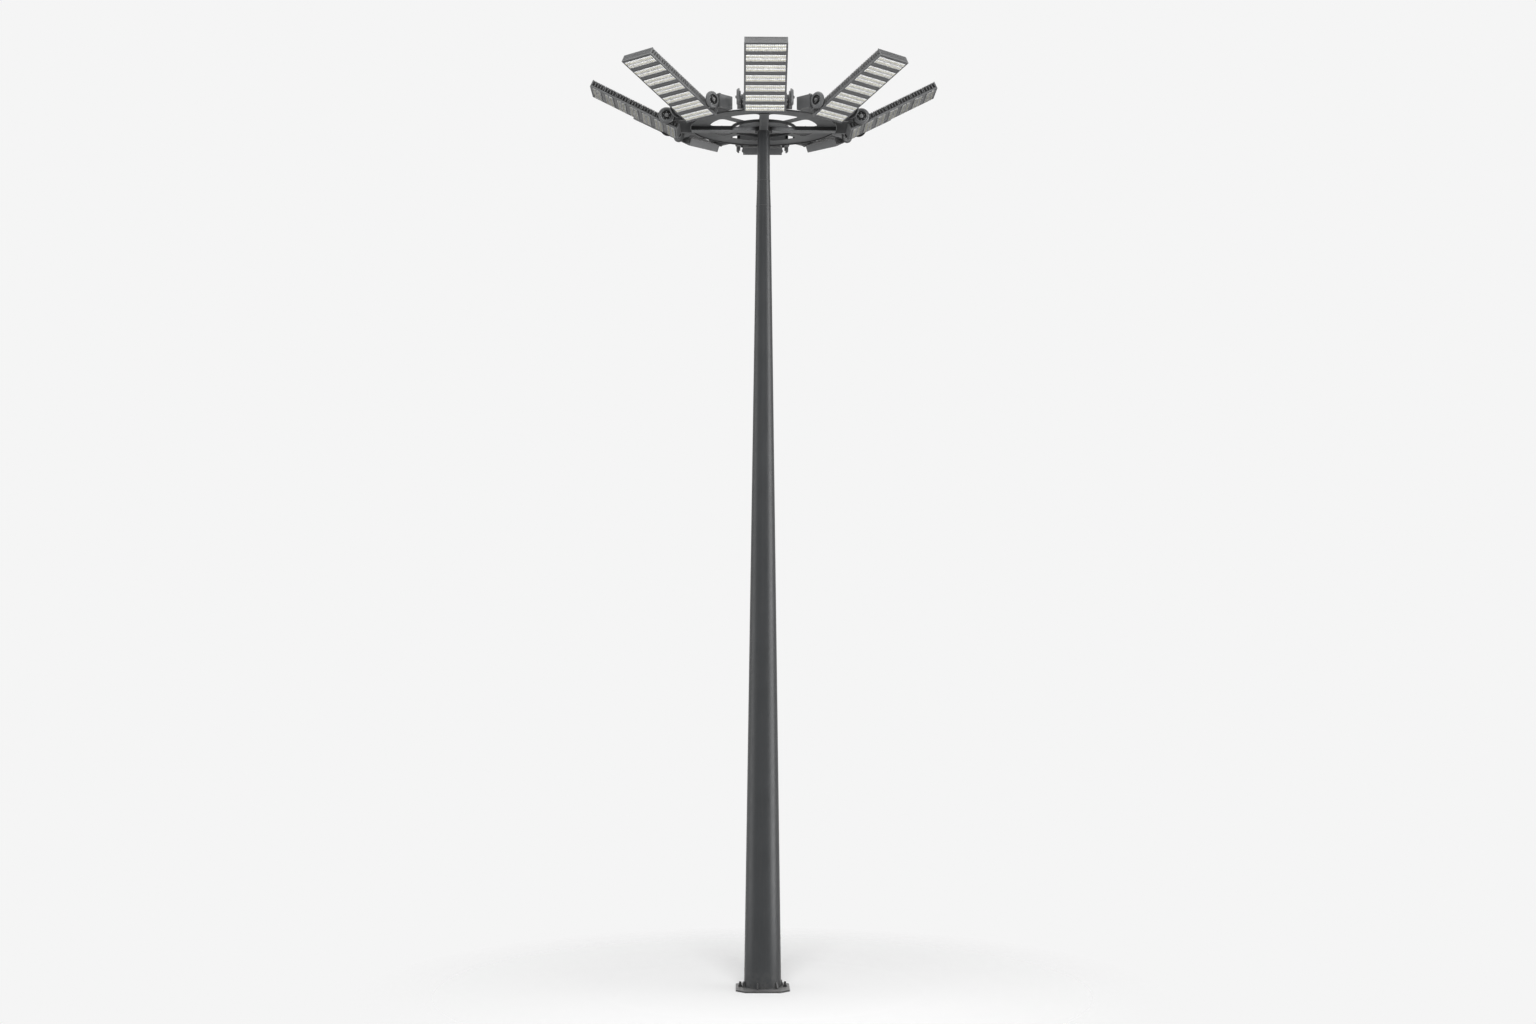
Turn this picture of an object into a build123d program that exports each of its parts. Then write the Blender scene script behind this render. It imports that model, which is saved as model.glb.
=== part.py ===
"""High mast floodlight tower: a tapered tube mast on a bolted base plate, with a ring head that
carries eight tilting LED floodlights.

Units are millimetres.  +Z is up and the origin is the centre of the base plate's underside.
The front lamp stands on the -Y side.  Lamps are numbered counter-clockwise, seen from above.
"""
from build123d import *
from math import asin, cos, radians, sin
import os

os.makedirs("parts", exist_ok=True)

# ---- Driving dimensions ------------------------------------------------------------------
lamp_count = 8
lamp_step = 360 / lamp_count
corner = (Align.MIN, Align.MIN)

# Base
plate_side = 930
plate_clip = 165
plate_thickness = 30
bolt_circle_radius = 390
bolt_count = 2
bolt_radius = 18
bolt_hole_radius = 21
bolt_top = 120
bolt_chamfer = 3
nut_across_flats = 55
nut_height = 29
washer_radius = 36
washer_height = 6
gusset_count = 6
gusset_turn = -15
gusset_thickness = 25
gusset_height = 105
gusset_reach = 365
gusset_toe = 20
gusset_root = 300

# Mast
tube_wall = 8
mast_base_radius = 322.5
shoulder_bottom_radius = 129
shoulder_bottom_level = 13700
shoulder_top_radius = 115
shoulder_top_level = 14150
mast_top_radius = 107
taper_end_level = 15000

# Ring head
arm_count = 4
arm_width = 150
arm_wall = 8
arm_bottom_level = 15035
arm_top_level = 15109
arm_end_radius = 1280
collar_radius = 140
hub_plate_radius = 448
hub_plate_thickness = 12
deck_thickness = 10
deck_inner_radius = 515
deck_outer_radius = 1300
lip_thickness = 14
lip_depth = 18
window_inner_radius = 575
window_outer_radius = 960
window_inner_offset = 85
window_outer_offset = 82
window_inner_fillet = 30
window_outer_fillet = 80
hoop_outer_radius = 565
hoop_thickness = 16
hoop_depth = 39

# Lamp yokes, which stand on the deck
yoke_inner_radius = 1250
crossbar_thickness = 12
yoke_height = 221
yoke_gap = 820
yoke_box_width = 60
yoke_box_end_radius = 1530
yoke_box_wall = 6
flange_thickness = 26
flange_overhang = 10
arm_plate_thickness = 20
arm_plate_end_radius = 105
pivot_disc_radius = 145
pivot_disc_thickness = 50
pivot_disc_bevel = 26
pivot_disc_rim = 14
pivot_disc_recess = 34
pivot_disc_boss_radius = 42

# Floodlights: x across the lamp, y along it from the inner end of its lenses, z to its back
lamp_tilt = 26.5
lens_edge_radius = 1570
lens_edge_level = 15000
module_count = 7
module_pitch = 243
lens_width = 662
lens_length = 166
lens_thickness = 12
rail_width = 26
rail_height = 30
tie_height = 10
tie_recess = 4
end_margin = 40
end_plate_thickness = 8
lamp_thickness = 130
sink_width = 690
sink_length = 218
sink_base = 6
fin_count = 13
fin_thickness = 2.5
rib_spacing = 3
rib_thickness = 5
vent_count = 24
vent_width = 14
vent_bottom = 24
vent_top = 118
pivot_along = 215
pivot_back = 124
ear_radius = 72
ear_thickness = 14
boss_radius = 45
boss_gap = 5
pin_radius = 18
pin_clearance = 0.3
pin_end_gap = 6

# ---- Derived values ----------------------------------------------------------------------
deck_level = arm_top_level + deck_thickness
frame_width = lens_width + 2 * rail_width
frame_start = -end_margin
frame_end = module_pitch * (module_count - 1) + lens_length + end_margin
pivot_run = pivot_along * cos(radians(lamp_tilt)) - pivot_back * sin(radians(lamp_tilt))
pivot_radius = lens_edge_radius + pivot_run
pivot_level = lens_edge_level + pivot_along * sin(radians(lamp_tilt)) + pivot_back * cos(radians(lamp_tilt))


def save(builder, name):
    """Label a finished piece and write it under its node's name."""
    builder.part.label = name
    export_step(builder.part, "parts/" + name + ".step")


def radial(turn):
    """Unit vector that points away from the mast at a lamp's turn."""
    return Vector(sin(radians(turn)), -cos(radians(turn)), 0)


def across(turn):
    """Unit vector along a lamp's tilt axis: its outer end rises as it turns about this."""
    return Vector(-cos(radians(turn)), -sin(radians(turn)), 0)


def upright_plane(turn, radius, level, side):
    """Plane of a lamp's side view: x runs outward and y up, shifted sideways along its normal."""
    origin = radial(turn) * radius + Vector(0, 0, level) + across(turn) * side
    return Plane(origin=origin, x_dir=radial(turn), z_dir=across(turn))


def lamp_plane(turn):
    """Plane of a lamp's lens faces, with its origin at the inner edge of the first lens."""
    slope = radians(lamp_tilt)
    origin = radial(turn) * lens_edge_radius + Vector(0, 0, lens_edge_level)
    back = Vector(0, 0, 1) * cos(slope) - radial(turn) * sin(slope)
    return Plane(origin=origin, x_dir=across(turn), z_dir=back)


# ---- Base --------------------------------------------------------------------------------
with BuildPart() as base_plate:
    with BuildSketch():
        Rectangle(plate_side, plate_side)
        chamfer(vertices(), plate_clip)
        with PolarLocations(bolt_circle_radius, bolt_count):
            Circle(bolt_hole_radius, mode=Mode.SUBTRACT)
    extrude(amount=plate_thickness)
save(base_plate, "base_plate")

with BuildPart() as anchor_bolts:
    with BuildSketch():
        with PolarLocations(bolt_circle_radius, bolt_count):
            Circle(bolt_radius)
    extrude(amount=bolt_top)
    chamfer(faces().sort_by(Axis.Z)[-bolt_count:].edges(), bolt_chamfer)
    with BuildSketch(Plane.XY.offset(plate_thickness)):
        with PolarLocations(bolt_circle_radius, bolt_count):
            Circle(washer_radius)
    extrude(amount=washer_height)
    with BuildSketch(Plane.XY.offset(plate_thickness + washer_height)):
        with PolarLocations(bolt_circle_radius, bolt_count):
            RegularPolygon(nut_across_flats / 2, 6, major_radius=False)
    extrude(amount=nut_height)
save(anchor_bolts, "anchor_bolts")

with BuildPart() as base_gussets:
    for number in range(gusset_count):
        turn = gusset_turn + number * 360 / gusset_count
        with BuildSketch(upright_plane(turn, 0, plate_thickness, 0)):
            with BuildLine():
                Polyline(
                    (gusset_root, 0),
                    (gusset_reach, 0),
                    (gusset_reach, gusset_toe),
                    (mast_base_radius + gusset_toe, gusset_height),
                    (gusset_root, gusset_height),
                    close=True,
                )
            make_face()
        extrude(amount=gusset_thickness / 2, both=True)
    with Locations((0, 0, plate_thickness)):
        Cone(
            mast_base_radius,
            shoulder_bottom_radius,
            shoulder_bottom_level - plate_thickness,
            align=(Align.CENTER, Align.CENTER, Align.MIN),
            mode=Mode.SUBTRACT,
        )
save(base_gussets, "base_gussets")

# ---- Mast --------------------------------------------------------------------------------
with BuildPart() as mast_shaft:
    with BuildSketch(Plane.XZ):
        with BuildLine():
            Polyline(
                (mast_base_radius - tube_wall, plate_thickness),
                (mast_base_radius, plate_thickness),
                (shoulder_bottom_radius, shoulder_bottom_level),
                (shoulder_top_radius, shoulder_top_level),
                (shoulder_top_radius - tube_wall, shoulder_top_level),
                (shoulder_bottom_radius - tube_wall, shoulder_bottom_level),
                close=True,
            )
        make_face()
    revolve(axis=Axis.Z)
save(mast_shaft, "mast_shaft")

with BuildPart() as mast_top:
    with BuildSketch(Plane.XZ):
        with BuildLine():
            Polyline(
                (shoulder_top_radius - tube_wall, shoulder_top_level),
                (shoulder_top_radius, shoulder_top_level),
                (mast_top_radius, taper_end_level),
                (mast_top_radius, arm_top_level),
                (mast_top_radius - tube_wall, arm_top_level),
                (mast_top_radius - tube_wall, taper_end_level),
                close=True,
            )
        make_face()
    revolve(axis=Axis.Z)
save(mast_top, "mast_top")

# ---- Ring head ---------------------------------------------------------------------------
arm_depth = arm_top_level - arm_bottom_level
arm_bore_width = arm_width - 2 * arm_wall
arm_bore_depth = arm_depth - arm_wall
# Each bar of the cross makes two opposite arms.
arm_turns = [number * 360 / arm_count for number in range(arm_count // 2)]

with BuildPart() as radial_arms:
    with BuildSketch(Plane.XY.offset(arm_bottom_level)):
        for turn in arm_turns:
            with Locations(Rotation(0, 0, turn)):
                Rectangle(2 * arm_end_radius, arm_width)
    extrude(amount=arm_depth)
    with BuildSketch(Plane.XY.offset(arm_bottom_level)):
        for turn in arm_turns:
            with Locations(Rotation(0, 0, turn)):
                Rectangle(2 * (arm_end_radius - arm_wall), arm_bore_width)
    extrude(amount=arm_bore_depth, mode=Mode.SUBTRACT)
    with BuildSketch(Plane.XY.offset(arm_bottom_level)):
        Circle(collar_radius)
    extrude(amount=arm_depth)
    with BuildSketch(Plane.XY.offset(arm_bottom_level)):
        Circle(mast_top_radius)
    extrude(amount=arm_depth, mode=Mode.SUBTRACT)
save(radial_arms, "radial_arms")

with BuildPart() as hub_plate:
    with BuildSketch(Plane.XY.offset(arm_top_level)):
        Circle(hub_plate_radius)
    extrude(amount=hub_plate_thickness)
save(hub_plate, "hub_plate")

with BuildPart() as inner_ring:
    with BuildSketch(Plane.XY.offset(arm_top_level - hoop_depth)):
        Circle(hoop_outer_radius)
        Circle(hoop_outer_radius - hoop_thickness, mode=Mode.SUBTRACT)
        for turn in arm_turns:
            with Locations(Rotation(0, 0, turn)):
                Rectangle(2 * arm_end_radius, arm_width, mode=Mode.SUBTRACT)
    extrude(amount=hoop_depth)
save(inner_ring, "inner_ring")


def window_corner(radius, offset):
    """Corner of a window: where its arc meets the line beside the next spoke."""
    angle = radians(lamp_step / 2) - asin(offset / radius)
    return (radius * cos(angle), radius * sin(angle))


inner_x, inner_y = window_corner(window_inner_radius, window_inner_offset)
outer_x, outer_y = window_corner(window_outer_radius, window_outer_offset)

with BuildSketch() as window:
    with BuildLine():
        Line((inner_x, inner_y), (outer_x, outer_y))
        ThreePointArc((outer_x, outer_y), (window_outer_radius, 0), (outer_x, -outer_y))
        Line((outer_x, -outer_y), (inner_x, -inner_y))
        ThreePointArc((inner_x, -inner_y), (window_inner_radius, 0), (inner_x, inner_y))
    make_face()
    fillet(vertices().sort_by(Axis.X)[-2:], window_outer_fillet)
    fillet(vertices().sort_by(Axis.X)[:2], window_inner_fillet)

with BuildPart() as ring_deck:
    with BuildSketch(Plane.XY.offset(arm_top_level)):
        Circle(deck_outer_radius)
        Circle(deck_inner_radius, mode=Mode.SUBTRACT)
        with PolarLocations(0, lamp_count, start_angle=lamp_step / 2):
            add(window.sketch, mode=Mode.SUBTRACT)
    extrude(amount=deck_thickness)
    with BuildSketch(Plane.XY.offset(arm_top_level - lip_depth)):
        Circle(deck_outer_radius)
        Circle(deck_outer_radius - lip_thickness, mode=Mode.SUBTRACT)
    extrude(amount=lip_depth)
save(ring_deck, "ring_deck")

# ---- Lamp yokes --------------------------------------------------------------------------
with BuildPart() as yoke_crossbars:
    for number in range(lamp_count):
        turn = number * lamp_step
        with BuildSketch(upright_plane(turn, yoke_inner_radius, deck_level, 0)):
            Rectangle(crossbar_thickness, yoke_height, align=corner)
        extrude(amount=yoke_gap / 2, both=True)
save(yoke_crossbars, "yoke_crossbars")

pin_bore_radius = pin_radius + pin_clearance
recess_radius = pivot_disc_radius - pivot_disc_bevel - pivot_disc_rim

with BuildPart() as yoke_arms:
    for number in range(lamp_count):
        turn = number * lamp_step
        for side in (-1, 1):
            inner_face = side * yoke_gap / 2
            with BuildSketch(upright_plane(turn, yoke_inner_radius, deck_level, inner_face)):
                Rectangle(yoke_box_end_radius - yoke_inner_radius, yoke_height, align=corner)
            extrude(amount=side * yoke_box_width)
            with BuildSketch(
                upright_plane(turn, yoke_inner_radius, deck_level + yoke_box_wall, inner_face + side * yoke_box_wall)
            ):
                Rectangle(
                    yoke_box_end_radius - yoke_inner_radius,
                    yoke_height - 2 * yoke_box_wall,
                    align=corner,
                )
            extrude(amount=side * (yoke_box_width - 2 * yoke_box_wall), mode=Mode.SUBTRACT)
            with BuildSketch(upright_plane(turn, yoke_box_end_radius, deck_level - flange_overhang, inner_face)):
                Rectangle(flange_thickness, yoke_height + 2 * flange_overhang, align=corner)
            extrude(amount=side * yoke_box_width)
            with BuildSketch(upright_plane(turn, 0, 0, inner_face)):
                with BuildLine():
                    Polyline(
                        (yoke_box_end_radius, deck_level),
                        (pivot_radius, pivot_level - arm_plate_end_radius),
                        (pivot_radius, pivot_level + arm_plate_end_radius),
                        (yoke_box_end_radius, deck_level + yoke_height),
                        close=True,
                    )
                make_face()
                with Locations((pivot_radius, pivot_level)):
                    Circle(arm_plate_end_radius)
                    Circle(pin_bore_radius, mode=Mode.SUBTRACT)
            extrude(amount=side * arm_plate_thickness)
save(yoke_arms, "yoke_arms")

with BuildPart() as pivot_disc:
    with BuildSketch(Plane.XZ):
        with BuildLine():
            Polyline(
                (pin_bore_radius, 0),
                (pivot_disc_radius, 0),
                (pivot_disc_radius, pivot_disc_thickness - pivot_disc_bevel),
                (pivot_disc_radius - pivot_disc_bevel, pivot_disc_thickness),
                (recess_radius, pivot_disc_thickness),
                (recess_radius, pivot_disc_thickness - pivot_disc_recess),
                (pivot_disc_boss_radius, pivot_disc_thickness - pivot_disc_recess),
                (pivot_disc_boss_radius, pivot_disc_thickness),
                (pin_bore_radius, pivot_disc_thickness),
                close=True,
            )
        make_face()
    revolve(axis=Axis.Z)

with BuildPart() as pivot_discs:
    for number in range(lamp_count):
        turn = number * lamp_step
        for side in (-1, 1):
            outward = across(turn) * side
            centre = radial(turn) * pivot_radius + outward * (yoke_gap / 2 + arm_plate_thickness)
            pivot = centre + Vector(0, 0, pivot_level)
            with Locations(Plane(origin=pivot, x_dir=radial(turn), z_dir=outward)):
                add(pivot_disc.part)
save(pivot_discs, "pivot_discs")


# ---- Floodlights -------------------------------------------------------------------------
# One floodlight is made lying flat, with x across it, y along it and z to its back.
frame_length = frame_end - frame_start
frame_middle = (frame_end + frame_start) / 2
tie_length = module_pitch - lens_length
boss_end = yoke_gap / 2 - boss_gap
pin_end = yoke_gap / 2 + arm_plate_thickness + pivot_disc_thickness - pin_end_gap
fin_pitch = (sink_length - rib_thickness) / (fin_count - 1)
fin_height = lamp_thickness - rail_height - sink_base
sink_starts = [number * module_pitch + (lens_length - sink_length) / 2 for number in range(module_count)]
fin_middles = [rib_thickness / 2 + fin * fin_pitch for fin in range(fin_count)]
fin_level = rail_height + sink_base + fin_height / 2


def lamp_side(side):
    """Side view of the flat floodlight: x runs along it and y to its back."""
    return Plane(origin=(side, 0, 0), x_dir=(0, 1, 0), z_dir=(1, 0, 0))


with BuildPart() as frame:
    with BuildSketch():
        with Locations((0, frame_middle)):
            Rectangle(frame_width, frame_length)
            Rectangle(lens_width, frame_length, mode=Mode.SUBTRACT)
    extrude(amount=rail_height)
    with BuildSketch(Plane.XY.offset(tie_recess)):
        with Locations((0, frame_middle)):
            Rectangle(frame_width, frame_length)
        with Locations([(0, number * module_pitch + lens_length / 2) for number in range(module_count)]):
            Rectangle(lens_width, lens_length, mode=Mode.SUBTRACT)
    extrude(amount=tie_height)
    for end, vents in ((frame_start, 0), (frame_end - end_plate_thickness, vent_count)):
        with BuildSketch(Plane(origin=(0, end, 0), x_dir=(-1, 0, 0), z_dir=(0, 1, 0))):
            with Locations((0, lamp_thickness / 2)):
                Rectangle(frame_width, lamp_thickness)
            if vents:
                with Locations((0, (vent_bottom + vent_top) / 2)):
                    with GridLocations(lens_width / vents, 1, vents, 1):
                        Rectangle(vent_width, vent_top - vent_bottom, mode=Mode.SUBTRACT)
        extrude(amount=end_plate_thickness)
    ear_face = frame_width / 2
    boss_face = ear_face + ear_thickness
    for side in (-1, 1):
        with BuildSketch(lamp_side(side * ear_face)):
            with Locations((pivot_along, pivot_back)):
                Circle(ear_radius)
            with Locations((pivot_along, pivot_back / 2)):
                Rectangle(2 * ear_radius, pivot_back)
        extrude(amount=side * ear_thickness)
        for start, finish, radius in ((boss_face, boss_end, boss_radius), (boss_end, pin_end, pin_radius)):
            with BuildSketch(lamp_side(side * start)):
                with Locations((pivot_along, pivot_back)):
                    Circle(radius)
            extrude(amount=side * (finish - start))

with BuildPart() as heat_sinks:
    with BuildSketch(lamp_side(-sink_width / 2)):
        with Locations([(start, rail_height) for start in sink_starts]):
            Rectangle(sink_length, sink_base, align=corner)
        with Locations([(start + middle, fin_level) for start in sink_starts for middle in fin_middles]):
            Rectangle(fin_thickness, fin_height)
        rib_middles = fin_middles[::rib_spacing]
        with Locations([(start + middle, fin_level) for start in sink_starts for middle in rib_middles]):
            Rectangle(rib_thickness, fin_height)
    extrude(amount=sink_width)

with BuildPart() as lenses:
    with BuildSketch():
        with Locations([(0, number * module_pitch + lens_length / 2) for number in range(module_count)]):
            Rectangle(lens_width, lens_length)
    extrude(amount=lens_thickness)

for number in range(lamp_count):
    for piece, name in ((frame, "frame"), (heat_sinks, "heat_sinks"), (lenses, "lenses")):
        with BuildPart(lamp_plane(number * lamp_step)) as placed:
            add(piece.part)
        save(placed, "lamp_" + str(number + 1) + "_" + name)
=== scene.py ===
"""Looks of the high mast floodlight tower, in metres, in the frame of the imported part.

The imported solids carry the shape. This script gives them their materials and adds what is too
fine for them: LED optics, screws, bolts, weld beads, seams, covers and scale marks.
"""
import math
import random

import bmesh
import bpy
from mathutils import Matrix, Vector


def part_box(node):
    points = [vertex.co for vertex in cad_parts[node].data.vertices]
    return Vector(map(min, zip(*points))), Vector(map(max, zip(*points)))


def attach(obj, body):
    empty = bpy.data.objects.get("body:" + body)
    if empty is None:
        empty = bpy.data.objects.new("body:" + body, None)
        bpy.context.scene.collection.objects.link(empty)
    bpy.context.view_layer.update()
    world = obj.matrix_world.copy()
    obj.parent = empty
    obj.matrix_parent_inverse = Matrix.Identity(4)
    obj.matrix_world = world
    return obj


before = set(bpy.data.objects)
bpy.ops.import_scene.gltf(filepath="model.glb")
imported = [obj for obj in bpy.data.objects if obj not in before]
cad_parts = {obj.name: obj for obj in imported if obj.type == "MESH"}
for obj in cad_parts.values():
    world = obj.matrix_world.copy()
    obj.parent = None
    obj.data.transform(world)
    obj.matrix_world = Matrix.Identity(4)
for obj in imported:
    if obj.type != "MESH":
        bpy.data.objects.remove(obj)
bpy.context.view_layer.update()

# ---- Driving dimensions, in metres -------------------------------------------------------
# Floodlights
LAMP_COUNT = 8
LAMP_STEP = 2 * math.pi / LAMP_COUNT
LAMP_TILT = math.radians(26.5)
LENS_EDGE_RADIUS = 1.570
LENS_EDGE_LEVEL = 15.0
MODULE_COUNT = 7
MODULE_PITCH = 0.243
LENS_WIDTH = 0.662
LENS_LENGTH = 0.166
RAIL_WIDTH = 0.026
RAIL_HEIGHT = 0.030
TIE_RECESS = 0.004
END_MARGIN = 0.040
LAMP_THICKNESS = 0.130
LAMP_HALF_WIDTH = LENS_WIDTH / 2 + RAIL_WIDTH
LAMP_END = MODULE_PITCH * (MODULE_COUNT - 1) + LENS_LENGTH + END_MARGIN
PIVOT_ALONG = 0.215
PIVOT_BACK = 0.124
PIVOT_CLEAR = 0.085
SINK_LENGTH = 0.218
SINK_HALF_WIDTH = 0.345
RIB_COUNT = 5
RIB_THICKNESS = 0.005
EAR_THICKNESS = 0.014
OPTIC_COLUMNS = 20
OPTIC_ROWS = 2
OPTIC_MARGIN = 0.003
OPTIC_RISE = 0.008
RAIL_RIB_LEVELS = (0.008, 0.022)
TRIM_SCREW_STEPS = (0.12, 0.5, 0.88)
TIE_SCREW_STEPS = (-0.35, -0.12, 0.12, 0.35)
END_SCREW_PLACES = ((0.340, 0.026), (0.340, 0.118), (0.115, 0.014))
SINK_SCREW_ASIDE = 0.351
SINK_SCREW_SHIFT = 0.085
EAR_BOLT_LEVEL = 0.018
EAR_BOLT_SHIFT = 0.046

# Ring head and yokes
DECK_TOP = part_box("ring_deck")[1][2]
ARM_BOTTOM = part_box("radial_arms")[0][2]
ARM_HALF_WIDTH = 0.075
ARM_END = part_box("radial_arms")[1][0]
COLLAR_RADIUS = 0.140
HOOP_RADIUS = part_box("inner_ring")[1][0]
HUB_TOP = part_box("hub_plate")[1][2]
YOKE_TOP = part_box("yoke_crossbars")[1][2]
YOKE_INNER_RADIUS = 1.250
ARM_COUNT = 4
YOKE_HALF_GAP = 0.410
YOKE_BOX_WIDTH = 0.060
FLANGE_RADIUS = 1.530
FLANGE_THICKNESS = 0.026
DISC_FACE = 0.480
DISC_RADIUS = 0.145
DISC_BEVEL = 0.026
RIM_OPENING = 0.084
DISC_THICKNESS = 0.050
DISC_RECESS_RADIUS = 0.105
DISC_RECESS = 0.034
DISC_BOLT_COUNT = 6
DISC_BOLT_CIRCLE = 0.063
MARK_STEP = math.radians(10)
MARKS_EACH_WAY = 6
CLEAT_PLACES = (-0.30, -0.10, 0.10, 0.30)
CLEAT_LEG = 0.040
CLEAT_WIDTH = 0.080
CLEAT_SHEET = 0.006
DECK_BOLT_RADII = (0.560, 0.740, 0.920, 1.100, 1.220)
HUB_BOLT_RADII = (0.200, 0.400)
BOLT_ASIDE = 0.045
CAP_SCREW_COUNT = 8
CAP_SCREW_CIRCLE = 0.139
COVER_SCREW_COUNT = 9
COVER_SCREW_ASIDE = 0.060

# Mast and base
PLATE_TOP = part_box("base_plate")[1][2]
BOLT_CIRCLE = 0.390
BOLT_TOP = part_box("anchor_bolts")[1][2]
STUD_RADIUS = 0.018
NUT_TOP = 0.065
MAST_FOOT_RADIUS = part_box("mast_shaft")[1][0]
SHOULDER_BOTTOM = (0.129, 13.700)
SHOULDER_TOP = (0.115, 14.150)
MAST_TOP_RADIUS = 0.107
ANCHOR_COUNT = 2
THREAD_PITCH = 0.004
GUSSET_COUNT = 6
GUSSET_TURN = math.radians(-15)
GUSSET_REACH = 0.365
GUSSET_HEIGHT = 0.105
GUSSET_THICKNESS = 0.025

# Screws: radius and height of the head
TRIM_SCREW = (0.0055, 0.0035)
TIE_SCREW = (0.006, 0.0035)
END_SCREW = (0.005, 0.0035)
SINK_SCREW = (0.005, 0.003)
RIB_SCREW = (0.004, 0.002)
CAP_SCREW = (0.006, 0.004)

# Bolts and nuts: width across flats and height
EAR_BOLT = (0.022, 0.010)
PIVOT_NUT = (0.046, 0.014)
DISC_BOLT = (0.016, 0.009)
CLEAT_BOLT = (0.015, 0.008)
DECK_BOLT = (0.019, 0.010)
HUB_BOLT = (0.024, 0.013)

# Weld beads: radius, and spacing of the ripples
BEAD_SIDES = 6
FOOT_BEAD = (0.008, 0.009)
GUSSET_BEAD = (0.005, 0.008)
SHOULDER_BEAD = (0.0045, 0.010)
TOP_BEAD = (0.006, 0.008)
SEAM_BEAD = (0.0035, 0.030)

FINE_BEVEL = 0.001

# ---- Studio: lengths in metres, angles in degrees ----------------------------------------
BACKGROUND = 0.913
FLOOR_RADIUS = 7
FLOOR_TONE = 0.69
AMBIENT_LEVEL = 0.08
SKY_LEVEL = 0.70
SKY_SPREAD = 90
SKY_HEIGHT = 30
FRONT_DISTANCE = 24
FRONT_HEIGHT = 14.5
FRONT_SIZE = (14, 9)
FRONT_LEVEL = 1.40
FRONT_AIM = 9
STRIP_DISTANCE = 12
STRIP_HEIGHT = 7.5
STRIP_SIZE = (8, 26)
STRIPS = {"strip_right": (76, 3.50), "strip_left": (-90, 1.15)}
SENSOR_WIDTH = 36
LENS_MILLIMETRES = 46.875
CLIP_END = 500
CAMERA_SWING = 0.91
CAMERA_SIDE = 0.087
CAMERA_DISTANCE = 35.09
CAMERA_HEIGHT = 6.33
CAMERA_PITCH = 3.17
CAMERA_ROLL = -0.06

rng = random.Random(7)


# ---- Places ------------------------------------------------------------------------------
def frame_matrix(origin, x_axis, y_axis, z_axis):
    """Matrix that puts a local frame with the given axes at an origin."""
    rows = [[x_axis[i], y_axis[i], z_axis[i], origin[i]] for i in range(3)]
    return Matrix(rows + [[0, 0, 0, 1]])


def radial(turn):
    """Unit vector away from the mast at a lamp's turn; turn 0 is the front."""
    return Vector((math.sin(turn), -math.cos(turn), 0))


def across(turn):
    """Unit vector along a lamp's tilt axis."""
    return Vector((-math.cos(turn), -math.sin(turn), 0))


def lamp_matrix(turn):
    """A lamp's own frame: x across it, y along it from the first lens, z to its back."""
    up = Vector((0, 0, 1))
    along = radial(turn) * math.cos(LAMP_TILT) + up * math.sin(LAMP_TILT)
    back = up * math.cos(LAMP_TILT) - radial(turn) * math.sin(LAMP_TILT)
    origin = radial(turn) * LENS_EDGE_RADIUS + up * LENS_EDGE_LEVEL
    return frame_matrix(origin, across(turn), along, back)


def yoke_matrix(turn):
    """A yoke's own frame on the mast's axis: x outward, y up and z along the tilt axis."""
    return frame_matrix(Vector((0, 0, 0)), radial(turn), Vector((0, 0, 1)), across(turn))


def head_matrix(turn):
    """The head's frame at a turn: x outward, y sideways and z up."""
    return frame_matrix(Vector((0, 0, 0)), radial(turn), -across(turn), Vector((0, 0, 1)))


def at(x, y, z):
    """Shift to a point."""
    return Matrix.Translation((x, y, z))


def facing(x, y, z, axis):
    """Shift to a point, with local z turned to an axis named like '+x' or '-z'."""
    sign = 1 if axis[0] == "+" else -1
    quarter = sign * math.pi / 2
    turns = {"x": Matrix.Rotation(quarter, 4, "Y"), "y": Matrix.Rotation(-quarter, 4, "X")}
    flip = Matrix.Identity(4) if sign > 0 else Matrix.Rotation(math.pi, 4, "X")
    return at(x, y, z) @ turns.get(axis[1], flip)


PIVOT_POINT = lamp_matrix(0) @ Vector((0, PIVOT_ALONG, PIVOT_BACK))
PIVOT_RADIUS = -PIVOT_POINT.y
PIVOT_LEVEL = PIVOT_POINT.z


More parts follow.
